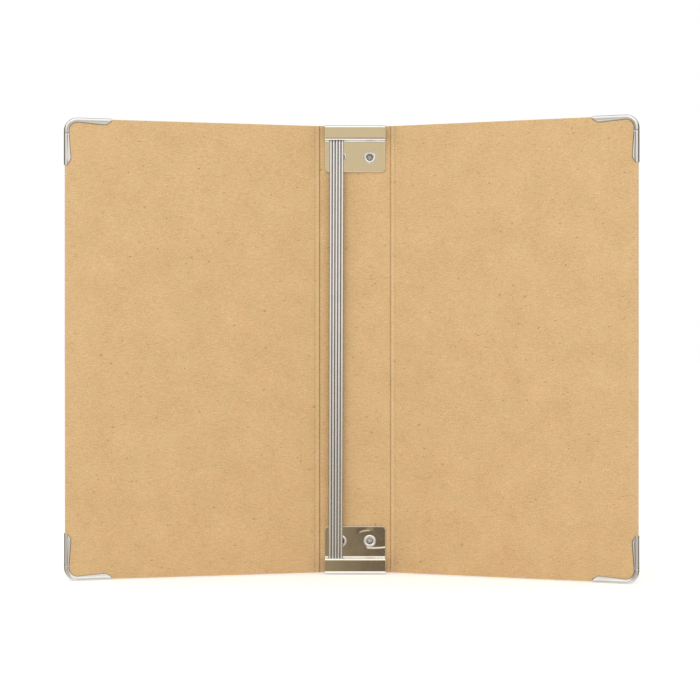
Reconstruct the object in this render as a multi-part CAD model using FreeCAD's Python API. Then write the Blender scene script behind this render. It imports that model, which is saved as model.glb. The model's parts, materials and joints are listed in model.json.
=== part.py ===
"""Scrapbook album: a kraft pasteboard binder that holds slim booklets on loose steel wires.

The album stands upright and partly open. X runs across the spine, towards the back cover.
Y points away from the open side, so the spine's outer face is on the +Y side. Z is up.
The origin is the middle of the spine panel's bottom edge. All sizes are in millimetres.
"""

import math
import os

import FreeCAD, Part

# pasteboard
board_height = 217.0
board_thickness = 2.0
spine_width = 34.4  # between the two inner crease lines
hinge_strip_width = 2.7  # between the two crease lines on each side of the spine
cover_reach = 124.5  # from the inner crease line to the cover's free edge, laid flat
cover_corner_radius = 5.8
crease_depth = 0.35  # the V pressed into both faces at each crease line
front_cover_angle = 16.8  # how far each cover is folded in from lying flat, as modelled
back_cover_angle = 23.9
strip_clearance = 0.02  # between each hinge strip and the cover that folds beside it

# metal corner protectors
corner_sheet = 0.5
corner_leg = 22.3  # overall length of each leg
corner_throat = 2.3  # width of the flange beside the bend
corner_lobe = 3.3  # width of the flange near the tip
corner_tip_slant = 2.7  # how far the flange's inner edge stops short of the tip
corner_tip_width = 1.5  # width of the flange's blunt end
corner_lobe_radius = 1.6
corner_tip_radius = 0.5
corner_rim_round = 1.0  # along the outer rim, where the sheet is rolled round the board's edge
corner_clearance = 0.03

# wire holders, one folded metal strip at the head and one at the foot of the spine
holder_width = 29.6
holder_sheet = 0.8
holder_end_inset = 0.3  # from the board's edge to the holder's closed end
holder_shelf_inset = 7.6  # from the board's edge to the face of the slotted shelf
holder_plate_inset = 22.5  # from the board's edge to the plate's free edge
holder_depth = 6.5  # from the spine panel's inner face to the front apron
holder_bend_inner = 0.5
holder_plate_corner = 1.8
holder_flange_clearance = 0.1

# booklet wires
wire_count = 5
wire_diameter = 1.35
wire_gap = 0.05  # between neighbours while they stand bunched together
wire_standoff = 3.4  # from the spine panel's inner face to the wire's axis
wire_end_play = 1.5  # free height above a wire that stands on the foot holder
wire_foot_clearance = 0.1
wire_end_round = 0.3
first_wire_offset = 12.0  # from the spine's middle to the middle of the first wire
wire_lean = 0.6  # how much nearer the front cover each wire's foot stands than its top
slot_end_offset = 12.35  # from the spine's middle to the centre of each slot end
slot_clearance = 0.15  # beside a wire, on each side

# hollow rivets
rivet_offset = 7.1  # from the spine's middle
rivet_inset = 15.4  # from the board's edge
rivet_shank_diameter = 3.0
rivet_bore_diameter = 2.3
rivet_bore_depth = 3.2  # from the crest of the roll to the end of the straight bore
rivet_head_diameter = 7.0
rivet_head_height = 1.1
rivet_head_rim = 0.3  # height of the head's straight rim
rivet_roll_diameter = 5.7
rivet_crest_diameter = 4.5  # of the circle along the top of the roll
rivet_roll_height = 0.8
rivet_hole_clearance = 0.05

# places that follow from the sizes above
half_board = board_thickness / 2
half_crease = half_board - crease_depth  # half of the thickness left at a crease
half_spine = spine_width / 2
spine_inner_face = -half_board
pivot_offset = half_spine + hinge_strip_width / 2
cover_edge_offset = half_spine + hinge_strip_width
cover_free_offset = half_spine + cover_reach
wire_pitch = wire_diameter + wire_gap
wire_axis_y = spine_inner_face - wire_standoff
holder_front_face = spine_inner_face - holder_depth
rivet_seat = spine_inner_face - holder_sheet

edge_match = 1e-3  # how near an edge has to be to the place where it is looked for

vector = FreeCAD.Vector
up = vector(0, 0, 1)
across = vector(1, 0, 0)
backwards = vector(0, 1, 0)


def export(shape, name):
    """Writes one sub-part to its own file."""
    shape.exportStep(os.path.join("parts", name + ".step"))


def upright_prism(outline):
    """The board's full height of a closed outline of (x, y) points."""
    points = [vector(x, y, 0) for x, y in outline]
    return Part.Face(Part.makePolygon(points + points[:1])).extrude(up * board_height)


def folded(shape, side):
    """A shape modelled on a flat cover, turned with that cover to the angle it stands at.

    side is -1 for the front cover and 1 for the back cover.
    """
    angle = front_cover_angle if side < 0 else back_cover_angle
    turned = shape.copy()
    turned.rotate(vector(side * pivot_offset, 0, 0), up, -side * angle)
    return turned


def spine_panel():
    """The middle board, creased along both upright edges and pierced for the rivets."""
    bevel = half_spine - crease_depth
    outline = [(-bevel, -half_board), (bevel, -half_board)]
    outline += [(half_spine, -half_crease), (half_spine, half_crease)]
    outline += [(-x, -y) for x, y in outline]
    panel = upright_prism(outline)
    hole_radius = rivet_shank_diameter / 2 + rivet_hole_clearance
    for x, z in rivet_places():
        start = vector(x, -board_thickness, z)
        panel = panel.cut(Part.makeCylinder(hole_radius, 2 * board_thickness, start, backwards))
    return panel


def hinge_strip(side):
    """The narrow strip between the two creases, which takes the bend between spine and cover."""
    angle = math.radians(front_cover_angle if side < 0 else back_cover_angle)

    def beyond_pivot(reach, y, turn):
        """A point of the flat board at this reach beyond the pivot, turned in about the pivot."""
        turned_x = pivot_offset + reach * math.cos(turn) + y * math.sin(turn)
        return turned_x, y * math.cos(turn) - reach * math.sin(turn)

    far_reach = hinge_strip_width / 2 - strip_clearance
    outline = [
        (half_spine, -half_crease),
        beyond_pivot(0, -half_board, angle / 2),
        beyond_pivot(far_reach, -half_crease, angle),
        beyond_pivot(far_reach, half_crease, angle),
        beyond_pivot(0, half_board, angle / 2),
        (half_spine, half_crease),
    ]
    return upright_prism([(side * x, y) for x, y in outline])


def cover_board(side):
    """One cover, with two rounded free corners and a creased hinge edge."""
    bevel = cover_edge_offset + crease_depth
    outline = [(cover_edge_offset, -half_crease), (bevel, -half_board), (cover_free_offset, -half_board)]
    outline += [(x, -y) for x, y in reversed(outline)]
    board = upright_prism([(side * x, y) for x, y in outline])
    free_edges = [
        edge
        for edge in board.Edges
        if edge.BoundBox.YLength > half_board
        and abs(edge.BoundBox.Center.x - side * cover_free_offset) < crease_depth
    ]
    return folded(board.makeFillet(cover_corner_radius, free_edges), side)


def flange_outline():
    """The corners of a protector's flange as ((u, v), radius).

    u and v (the solid's x and z) run along the board's two edges from its sharp corner.
    """
    edge = -corner_sheet
    tip = corner_leg - corner_sheet
    throat = corner_throat - corner_sheet
    lobe = corner_lobe - corner_sheet
    leg = [
        ((tip, edge), corner_tip_radius),
        ((tip, edge + corner_tip_width), corner_tip_radius),
        ((tip - corner_tip_slant, lobe), corner_lobe_radius),
    ]
    other_leg = [((v, u), radius) for (u, v), radius in reversed(leg)]
    bend = [((edge, edge), cover_corner_radius + corner_sheet)]
    throat_bend = [((throat, throat), cover_corner_radius - throat)]
    return bend + leg + throat_bend + other_leg


def rounded_slab(low, high, thickness, radius):
    """A square slab from (low, low) to (high, high) in u and v, rounded at its lower corner."""
    size = high - low
    slab = Part.makeBox(size, thickness, size, vector(low, -thickness / 2, low))
    return slab.makeFillet(radius, [edge_at(slab, low, low)])


def edge_at(solid, u, v):
    """The straight edge that runs through the solid's thickness at this u and v."""
    for edge in solid.Edges:
        middle = edge.BoundBox.Center
        if edge.BoundBox.YLength > half_board and math.hypot(middle.x - u, middle.z - v) < edge_match:
            return edge
    raise ValueError("there is no corner at u %.3f, v %.3f" % (u, v))


def corner_protector(side, at_head):
    """A pressed metal corner that wraps the board's edge at one free corner of a cover."""
    thickness = board_thickness + 2 * corner_sheet
    outline = flange_outline()
    points = [vector(u, thickness / 2, v) for (u, v), radius in outline]
    flange = Part.Face(Part.makePolygon(points + points[:1])).extrude(backwards * -thickness)
    for (u, v), radius in outline:
        flange = flange.makeFillet(radius, [edge_at(flange, u, v)])
    # the outer rim is rolled round the board's edge
    rolled = rounded_slab(-corner_sheet, corner_leg, thickness, cover_corner_radius + corner_sheet)
    rim = [
        edge
        for edge in rolled.Edges
        if edge.BoundBox.YLength < edge_match and min(edge.BoundBox.XMax, edge.BoundBox.ZMax) < corner_leg / 2
    ]
    rolled = rolled.makeFillet(corner_rim_round, rim)
    pocket = rounded_slab(
        -corner_clearance,
        2 * corner_leg,
        board_thickness + 2 * corner_clearance,
        cover_corner_radius + corner_clearance,
    )
    shell = rolled.common(flange).cut(pocket)
    if side > 0:
        shell = shell.mirror(vector(0, 0, 0), across)
    if at_head:
        shell = shell.mirror(vector(0, 0, 0), up)
    shell.translate(vector(side * cover_free_offset, 0, board_height if at_head else 0))
    return folded(shell, side)


def rivet_places():
    """The (x, z) of each rivet: two at the foot of the spine, then two at the head."""
    heights = (rivet_inset, board_height - rivet_inset)
    return [(x, z) for z in heights for x in (-rivet_offset, rivet_offset)]


def wire_holder(at_head):
    """A folded strip: riveted plate, slotted shelf, front apron and a flange that closes the end."""
    back = spine_inner_face
    front = holder_front_face
    sheet = holder_sheet
    flange_end = back - holder_flange_clearance
    section = [
        (back, holder_plate_inset),
        (back - sheet, holder_plate_inset),
        (back - sheet, holder_shelf_inset),
        (front, holder_shelf_inset),
        (front, holder_end_inset),
        (flange_end, holder_end_inset),
        (flange_end, holder_end_inset + sheet),
        (front + sheet, holder_end_inset + sheet),
        (front + sheet, holder_shelf_inset - sheet),
        (back, holder_shelf_inset - sheet),
    ]
    points = [vector(-holder_width / 2, y, z) for y, z in section]
    strip = Part.Face(Part.makePolygon(points + points[:1])).extrude(across * holder_width)
    outer_bend = holder_bend_inner + sheet
    bends = [
        (section[2], holder_bend_inner),
        (section[9], outer_bend),
        (section[3], outer_bend),
        (section[8], holder_bend_inner),
        (section[4], outer_bend),
        (section[7], holder_bend_inner),
    ]
    for (y, z), radius in bends:
        strip = strip.makeFillet(radius, [bend_edge(strip, y, z)])
    strip = strip.makeFillet(holder_plate_corner, plate_corners(strip))
    strip = strip.cut(shelf_slot())
    hole_radius = rivet_shank_diameter / 2 + rivet_hole_clearance
    for x in (-rivet_offset, rivet_offset):
        start = vector(x, back - 2 * sheet, rivet_inset)
        strip = strip.cut(Part.makeCylinder(hole_radius, 3 * sheet, start, backwards))
    if at_head:
        strip = strip.mirror(vector(0, 0, board_height / 2), up)
    return strip


def bend_edge(strip, y, z):
    """The long edge of the strip that runs across the spine at this y and z."""
    for edge in strip.Edges:
        middle = edge.BoundBox.Center
        if edge.BoundBox.XLength > holder_width / 2 and math.hypot(middle.y - y, middle.z - z) < edge_match:
            return edge
    raise ValueError("the strip has no bend edge at y %.3f, z %.3f" % (y, z))


def plate_corners(strip):
    """The two short edges at the corners of the plate's free end."""
    return [
        edge
        for edge in strip.Edges
        if edge.BoundBox.XLength < edge_match
        and abs(edge.BoundBox.YLength - holder_sheet) < edge_match
        and abs(edge.BoundBox.Center.z - holder_plate_inset) < edge_match
    ]


def shelf_slot():
    """The cutter for the slot in the foot holder's shelf: a little wider than a wire, with round ends."""
    radius = wire_diameter / 2 + slot_clearance
    overcut = holder_sheet / 2
    bottom = holder_shelf_inset - holder_sheet - overcut
    height = holder_sheet + 2 * overcut
    slot = Part.makeBox(2 * slot_end_offset, 2 * radius, height)
    slot.translate(vector(-slot_end_offset, wire_axis_y - radius, bottom))
    for x in (-slot_end_offset, slot_end_offset):
        slot = slot.fuse(Part.makeCylinder(radius, height, vector(x, wire_axis_y, bottom), up))
    return slot.removeSplitter()


def booklet_wire(number):
    """A straight spring wire, counted from the front cover, leaning a little along the slots."""
    foot = holder_end_inset + holder_sheet + wire_foot_clearance
    top = board_height - holder_end_inset - holder_sheet - wire_end_play
    x = -first_wire_offset + (number - 1) * wire_pitch
    rod = Part.makeCylinder(wire_diameter / 2, top - foot, vector(x, wire_axis_y, foot), up)
    rims = [edge for edge in rod.Edges if edge.BoundBox.ZLength < edge_match]
    rod = rod.makeFillet(wire_end_round, rims)
    lean_angle = math.degrees(math.atan(wire_lean / (top - foot)))
    rod.rotate(vector(x, wire_axis_y, (foot + top) / 2), backwards, lean_angle)
    return rod


def hollow_rivet(x, z):
    """A domed head outside the spine, a shank through board and plate, and a rolled, hollow end inside.

    The profile is drawn as (radius, y) from the middle of the crown and revolved about the rivet's axis.
    """
    shank = rivet_shank_diameter / 2
    bore = rivet_bore_diameter / 2
    head = rivet_head_diameter / 2
    roll = rivet_roll_diameter / 2
    crest = rivet_crest_diameter / 2
    head_seat = half_board
    crown = head_seat + rivet_head_height
    head_rim = head_seat + rivet_head_rim
    roll_top = rivet_seat - rivet_roll_height
    bore_end = roll_top + rivet_bore_depth
    inner_curl = crest - bore
    outer_curl = roll - crest
    diagonal = math.sqrt(0.5)
    # the head is part of a sphere through its rim and its crown
    dome_rise = crown - head_rim
    dome_radius = (head ** 2 + dome_rise ** 2) / (2 * dome_rise)
    dome_half_angle = math.asin(head / dome_radius) / 2
    dome_middle_y = crown - dome_radius * (1 - math.cos(dome_half_angle))

    def line(start, end):
        return Part.LineSegment(vector(*start, 0), vector(*end, 0)).toShape()

    def arc(start, middle, end):
        return Part.Arc(vector(*start, 0), vector(*middle, 0), vector(*end, 0)).toShape()

    edges = [
        line((0, bore_end + bore), (0, crown)),
        arc((0, crown), (dome_radius * math.sin(dome_half_angle), dome_middle_y), (head, head_rim)),
        line((head, head_rim), (head, head_seat)),
        line((head, head_seat), (shank, head_seat)),
        line((shank, head_seat), (shank, rivet_seat)),
        line((shank, rivet_seat), (roll, rivet_seat)),
        line((roll, rivet_seat), (roll, roll_top + outer_curl)),
        arc(
            (roll, roll_top + outer_curl),
            (crest + outer_curl * diagonal, roll_top + outer_curl * (1 - diagonal)),
            (crest, roll_top),
        ),
        arc(
            (crest, roll_top),
            (crest - inner_curl * diagonal, roll_top + inner_curl * (1 - diagonal)),
            (bore, roll_top + inner_curl),
        ),
        line((bore, roll_top + inner_curl), (bore, bore_end)),
        line((bore, bore_end), (0, bore_end + bore)),
    ]
    profile = Part.Face(Part.Wire(edges))
    rivet = profile.revolve(vector(0, 0, 0), backwards, 360)
    rivet.translate(vector(x, 0, z))
    return rivet


def build():
    """Writes every sub-part of the album."""
    os.makedirs("parts", exist_ok=True)
    export(spine_panel(), "spine_panel")
    for side, name in ((-1, "front"), (1, "back")):
        export(hinge_strip(side), name + "_hinge_strip")
        export(cover_board(side), name + "_cover_board")
        export(corner_protector(side, False), name + "_foot_corner")
        export(corner_protector(side, True), name + "_head_corner")
    export(wire_holder(False), "foot_wire_holder")
    export(wire_holder(True), "head_wire_holder")
    for number in range(1, wire_count + 1):
        export(booklet_wire(number), "booklet_wire_%d" % number)
    rivet_names = ("foot_rivet_front", "foot_rivet_back", "head_rivet_front", "head_rivet_back")
    for name, (x, z) in zip(rivet_names, rivet_places()):
        export(hollow_rivet(x, z), name)


build()
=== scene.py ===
import json
import math

import bmesh
import bpy
from mathutils import Matrix, Vector


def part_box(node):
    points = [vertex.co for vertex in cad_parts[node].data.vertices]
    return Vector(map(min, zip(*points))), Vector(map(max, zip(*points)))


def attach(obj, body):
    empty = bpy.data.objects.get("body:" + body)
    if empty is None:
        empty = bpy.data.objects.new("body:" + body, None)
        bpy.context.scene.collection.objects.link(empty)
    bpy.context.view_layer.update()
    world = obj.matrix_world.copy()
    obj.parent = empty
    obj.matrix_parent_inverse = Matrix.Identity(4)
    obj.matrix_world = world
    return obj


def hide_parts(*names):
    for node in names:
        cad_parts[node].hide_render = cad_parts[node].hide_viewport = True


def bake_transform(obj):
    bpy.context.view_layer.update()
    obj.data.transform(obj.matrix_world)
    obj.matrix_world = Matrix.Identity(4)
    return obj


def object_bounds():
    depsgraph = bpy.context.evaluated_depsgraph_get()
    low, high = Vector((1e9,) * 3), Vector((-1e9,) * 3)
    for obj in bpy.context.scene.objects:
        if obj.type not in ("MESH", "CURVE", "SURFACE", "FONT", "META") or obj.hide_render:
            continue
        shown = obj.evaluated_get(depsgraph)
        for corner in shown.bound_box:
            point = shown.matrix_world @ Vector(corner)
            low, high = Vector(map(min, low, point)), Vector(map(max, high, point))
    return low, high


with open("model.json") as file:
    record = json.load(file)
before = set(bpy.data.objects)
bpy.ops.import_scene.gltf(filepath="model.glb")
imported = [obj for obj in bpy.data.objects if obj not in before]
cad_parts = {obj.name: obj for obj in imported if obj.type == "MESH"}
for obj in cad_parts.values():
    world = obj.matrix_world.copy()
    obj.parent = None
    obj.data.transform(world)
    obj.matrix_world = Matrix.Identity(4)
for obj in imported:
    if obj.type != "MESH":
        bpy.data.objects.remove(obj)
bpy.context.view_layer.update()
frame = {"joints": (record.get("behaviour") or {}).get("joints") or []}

mm = 0.001
toMillimetres = (1000.0, 1000.0, 1000.0)

spineLow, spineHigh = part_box("spine_panel")
boardHeight = spineHigh.z - spineLow.z
halfBoard = (spineHigh.y - spineLow.y) / 2
halfSpine = (spineHigh.x - spineLow.x) / 2


# small helpers for node trees

def feed(tree, socket, value):
    if isinstance(value, bpy.types.NodeSocket):
        tree.links.new(value, socket)
    else:
        socket.default_value = value


def addNode(tree, kind, inputs=None, **settings):
    made = tree.nodes.new(kind)
    for name, value in settings.items():
        setattr(made, name, value)
    for name, value in (inputs or {}).items():
        feed(tree, made.inputs[name], value)
    return made


def calc(tree, operation, *values, clamp=False):
    made = addNode(tree, "ShaderNodeMath", dict(enumerate(values)), operation=operation, use_clamp=clamp)
    return made.outputs[0]


def plus(tree, first, second, clamp=False):
    return calc(tree, "ADD", first, second, clamp=clamp)


def minus(tree, first, second):
    return calc(tree, "SUBTRACT", first, second)


def times(tree, first, second, clamp=False):
    return calc(tree, "MULTIPLY", first, second, clamp=clamp)


def apart(tree, first, second):
    return calc(tree, "ABSOLUTE", minus(tree, first, second))


def separate(tree, place):
    return addNode(tree, "ShaderNodeSeparateXYZ", {0: place}).outputs


def vectorCalc(tree, operation, *values):
    made = addNode(tree, "ShaderNodeVectorMath", dict(enumerate(values)), operation=operation)
    return made.outputs["Vector"]


def remap(tree, value, fromLow, fromHigh, toLow=0.0, toHigh=1.0, kind="SMOOTHSTEP"):
    places = {"Value": value, "From Min": fromLow, "From Max": fromHigh, "To Min": toLow, "To Max": toHigh}
    return addNode(tree, "ShaderNodeMapRange", places, interpolation_type=kind).outputs["Result"]


def noise(tree, place, scale, detail=2.0, roughness=0.5, distortion=0.0):
    wanted = {"Vector": place, "Scale": scale, "Detail": detail, "Roughness": roughness,
              "Distortion": distortion}
    return addNode(tree, "ShaderNodeTexNoise", wanted).outputs["Fac"]


def mixColour(tree, amount, first, second, blend="MIX"):
    made = addNode(tree, "ShaderNodeMix", data_type="RGBA", blend_type=blend)
    for index, value in ((0, amount), (6, first), (7, second)):
        feed(tree, made.inputs[index], value)
    return made.outputs[2]


socketKinds = {"vector": "NodeSocketVector", "value": "NodeSocketFloat", "count": "NodeSocketInt",
               "shape": "NodeSocketGeometry", "material": "NodeSocketMaterial"}


def newTree(name, treeKind, inputs, outputs):
    tree = bpy.data.node_groups.new(name, treeKind)
    for label, kind in inputs.items():
        tree.interface.new_socket(label, in_out="INPUT", socket_type=socketKinds[kind])
    for label, kind in outputs.items():
        tree.interface.new_socket(label, in_out="OUTPUT", socket_type=socketKinds[kind])
    return tree, tree.nodes.new("NodeGroupInput").outputs, tree.nodes.new("NodeGroupOutput").inputs


# shared shader groups

pulpLayers = {
    "sideShift": 41.0,  # mm, keeps the pattern of the two faces apart
    "cloud": (0.07, 3.0, 0.55),  # scale, detail and roughness of the noise
    "mottle": (0.42, 3.0, 0.62, 0.4),
    "grain": (1.9, 4.0, 0.8),
    "hue": (0.16, 2.0, 0.5),
    "fibres": ((0.3, 3.0), (1.35, 17.0), (2.4, 31.0)),  # turn and shift of each layer
    "fibreShape": (0.34, 2.3, 1.0),
    "flecks": ((0.09, 0.05, 0.4), (0.2, 0.08, 1.7), (0.2, 0.08, 2.6)),  # scale, widest reach, turn
    "fleckShape": (0.5, 1.0, 1.0),
}


def makePulpGroup():
    # pressed kraft pulp: soft clouds, short fibres lying every way, a few dark flecks
    inputs = {"Place": "vector", "Cloud": "value", "Grain": "value", "Fibre": "value", "Fleck": "value"}
    outputs = {"Tone": "value", "Fleck": "value", "Hue": "value", "Height": "value"}
    tree, given, result = newTree("kraftPulp", "ShaderNodeTree", inputs, outputs)
    place = vectorCalc(tree, "MULTIPLY", given["Place"], toMillimetres)
    parts = separate(tree, place)
    side = times(tree, calc(tree, "SIGN", parts["Y"]), pulpLayers["sideShift"])
    flat = addNode(tree, "ShaderNodeCombineXYZ", {"X": parts["X"], "Y": parts["Z"], "Z": side}).outputs[0]
    cloud = minus(tree, noise(tree, flat, *pulpLayers["cloud"]), 0.5)
    mottle = minus(tree, noise(tree, flat, *pulpLayers["mottle"]), 0.5)
    grain = minus(tree, noise(tree, flat, *pulpLayers["grain"]), 0.5)
    fibres = None
    for turn, seed in pulpLayers["fibres"]:
        spun = addNode(tree, "ShaderNodeMapping", {
            "Vector": flat, "Location": (seed, seed, 0.0), "Rotation": (0.0, 0.0, turn),
            "Scale": pulpLayers["fibreShape"]})
        streak = noise(tree, spun.outputs[0], 1.0, 1.0, 0.4, 0.7)
        light = remap(tree, streak, 0.60, 0.72)
        dark = remap(tree, streak, 0.40, 0.28)
        both = minus(tree, light, dark)
        fibres = both if fibres is None else plus(tree, fibres, both)
    fleck = None
    shifted = plus(tree, parts["X"], side)
    spread = addNode(tree, "ShaderNodeCombineXYZ", {"X": shifted, "Y": parts["Z"]}).outputs[0]
    for scale, widest, turn in pulpLayers["flecks"]:
        # each cell may hold one fleck, a little drawn out along a direction of its layer
        spun = addNode(tree, "ShaderNodeMapping", {
            "Vector": spread, "Location": (turn * 9, turn * 5, 0.0), "Rotation": (0.0, 0.0, turn),
            "Scale": pulpLayers["fleckShape"]})
        cells = addNode(tree, "ShaderNodeTexVoronoi", {"Vector": spun.outputs[0], "Scale": scale,
                                                       "Randomness": 1.0}, voronoi_dimensions="2D")
        size = addNode(tree, "ShaderNodeSeparateColor", {0: cells.outputs["Color"]}).outputs
        reach = remap(tree, size["Red"], 0.4, 1.0, 0.0, widest, "LINEAR")
        near = plus(tree, cells.outputs["Distance"], times(tree, grain, 0.06))
        spot = remap(tree, minus(tree, reach, near), 0.0, 0.03, kind="LINEAR")
        spot = times(tree, spot, size["Green"])
        fleck = spot if fleck is None else calc(tree, "MAXIMUM", fleck, spot)
    tone = times(tree, cloud, given["Cloud"])
    patches = times(tree, mottle, times(tree, given["Cloud"], 0.6))
    tone = plus(tree, tone, patches)
    tone = plus(tree, tone, times(tree, grain, given["Grain"]))
    tone = plus(tree, tone, times(tree, fibres, given["Fibre"]))
    tree.links.new(tone, result["Tone"])
    tree.links.new(times(tree, fleck, given["Fleck"], clamp=True), result["Fleck"])
    tree.links.new(noise(tree, flat, *pulpLayers["hue"]), result["Hue"])
    height = plus(tree, times(tree, grain, 0.8), times(tree, fibres, 0.25))
    tree.links.new(plus(tree, height, mottle), result["Height"])
    return tree


# turn and shift of each layer of hairline scratches
scratchLayers = (((0.2, 0.9, 0.4), 5.0), ((1.1, 0.3, 1.9), 23.0), ((2.0, 1.7, 0.8), 47.0))


def makeScratchGroup():
    # fine hairline scratches in three directions and soft handling smudges on plated metal
    inputs = {"Place": "vector", "Length": "value", "Fineness": "value"}
    outputs = {"Scratch": "value", "Smudge": "value", "Dent": "value"}
    tree, given, result = newTree("handledMetal", "ShaderNodeTree", inputs, outputs)
    place = vectorCalc(tree, "MULTIPLY", given["Place"], toMillimetres)
    scratches = None
    for turn, seed in scratchLayers:
        spun = addNode(tree, "ShaderNodeMapping", {"Vector": place, "Location": (seed, seed, seed),
                                                   "Rotation": turn})
        stretch = addNode(tree, "ShaderNodeCombineXYZ",
                          {"X": given["Length"], "Y": given["Fineness"], "Z": given["Fineness"]}).outputs[0]
        streak = noise(tree, vectorCalc(tree, "MULTIPLY", spun.outputs[0], stretch), 1.0, 2.0, 0.6)
        line = remap(tree, streak, 0.62, 0.7)
        scratches = line if scratches is None else calc(tree, "MAXIMUM", scratches, line)
    tree.links.new(scratches, result["Scratch"])
    smudge = remap(tree, noise(tree, place, 0.22, 3.0, 0.6), 0.35, 0.7, kind="LINEAR")
    tree.links.new(smudge, result["Smudge"])
    tree.links.new(noise(tree, place, 0.11, 1.0, 0.4), result["Dent"])
    return tree


pulpGroup = makePulpGroup()
scratchGroup = makeScratchGroup()
print("shader groups made")


# kraft pasteboard

kraft = {
    "light": (0.731, 0.512, 0.276, 1.0),
    "dark": (0.494, 0.305, 0.136, 1.0),
    "fleck": (0.260, 0.150, 0.065, 1.0),
    # colour of the painted shade along the creases
    "pressed": (0.30, 0.175, 0.075, 1.0),
    "rubbed": (0.72, 0.50, 0.28, 1.0),
    # colour and strength of the painted highlight along the middle of each hinge strip
    "ridge": (0.86, 0.66, 0.40, 1.0),
    "ridgeHighlightStrength": 0.12,
    "warmTint": (1.012, 0.985, 0.99, 1.0),
    "coolTint": (0.975, 1.0, 0.95, 1.0),
    "edgeDark": (0.40, 0.245, 0.11, 1.0),
    "edgeLight": (0.62, 0.41, 0.215, 1.0),
    "edgeFleck": 0.2,
    "edgeHeight": 0.12 * mm,
    "innerCreaseShade": {-1: 0.42, 1: 0.26},  # painted shade along the crease beside the spine, on each side
    "outerCreaseShade": {-1: 0.07, 1: 0.06},
    "cloud": 0.45,
    "grain": 3.1,
    "fibre": 0.15,
    "fleckStrength": 0.7,
    "roughness": 0.86,
    "grainHeight": 0.05 * mm,
    "plyPitch": 0.28,  # mm, one layer of pulp in the cut edge
}


def startMaterial(name):
    material = bpy.data.materials.new(name)
    material.use_nodes = True
    tree = material.node_tree
    tree.nodes.clear()
    shader = addNode(tree, "ShaderNodeBsdfPrincipled")
    surface = addNode(tree, "ShaderNodeOutputMaterial")
    tree.links.new(shader.outputs[0], surface.inputs["Surface"])
    return material, tree, shader


def placeGroup(tree, group, inputs):
    return addNode(tree, "ShaderNodeGroup", inputs, node_tree=group).outputs


def makeKraftFace():
    material, tree, shader = startMaterial("kraftFace")
    place = addNode(tree, "ShaderNodeAttribute", attribute_name="boardPlace").outputs["Vector"]
    pulp = placeGroup(tree, pulpGroup, {"Place": place, "Cloud": kraft["cloud"], "Grain": kraft["grain"],
                                        "Fibre": kraft["fibre"], "Fleck": kraft["fleckStrength"]})
    tone = plus(tree, pulp["Tone"], 0.5, clamp=True)
    colour = mixColour(tree, tone, kraft["dark"], kraft["light"])
    hue = remap(tree, pulp["Hue"], 0.3, 0.7, kind="LINEAR")
    tint = mixColour(tree, hue, kraft["warmTint"], kraft["coolTint"])
    colour = mixColour(tree, 1.0, colour, tint, "MULTIPLY")
    colour = mixColour(tree, pulp["Fleck"], colour, kraft["fleck"])
    # painted shade darkens the board along the creases; the fibres are rubbed along the cut rim
    parts = separate(tree, place)
    across = calc(tree, "ABSOLUTE", parts["X"])
    creaseShade = None
    inner, outer = kraft["innerCreaseShade"], kraft["outerCreaseShade"]
    for crease, strength in ((-halfSpine, inner[-1]), (halfSpine, inner[1]),
                             (-hingeEnd, outer[-1]), (hingeEnd, outer[1])):
        away = apart(tree, parts["X"], crease)
        line = remap(tree, away, 0.15 * mm, 0.65 * mm, strength, 0.0)
        creaseShade = line if creaseShade is None else calc(tree, "MAXIMUM", creaseShade, line)
    colour = mixColour(tree, creaseShade, colour, kraft["pressed"])
    # painted highlight: a lighter band along the middle of each hinge strip, between its two creases
    fromRidge = apart(tree, across, (halfSpine + hingeEnd) / 2)
    ridge = remap(tree, fromRidge, 0.4 * mm, 0.9 * mm, kraft["ridgeHighlightStrength"], 0.0)
    colour = mixColour(tree, ridge, colour, kraft["ridge"])
    fromEnd = calc(tree, "MINIMUM", parts["Z"], minus(tree, boardHeight, parts["Z"]))
    fromFree = minus(tree, coverFree, across)
    rim = remap(tree, calc(tree, "MINIMUM", fromEnd, fromFree), 0.0, 0.9 * mm, 0.3, 0.0)
    patches = remap(tree, noise(tree, place, 900.0, 3.0), 0.35, 0.6, kind="LINEAR")
    worn = times(tree, rim, patches)
    colour = mixColour(tree, worn, colour, kraft["rubbed"])
    tree.links.new(colour, shader.inputs["Base Color"])
    rough = plus(tree, times(tree, tone, 0.1), kraft["roughness"] - 0.05)
    tree.links.new(rough, shader.inputs["Roughness"])
    shader.inputs["Specular IOR Level"].default_value = 0.25
    bump = addNode(tree, "ShaderNodeBump", {"Height": pulp["Height"], "Distance": kraft["grainHeight"],
                                            "Strength": 1.0})
    tree.links.new(bump.outputs[0], shader.inputs["Normal"])
    return material


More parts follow.
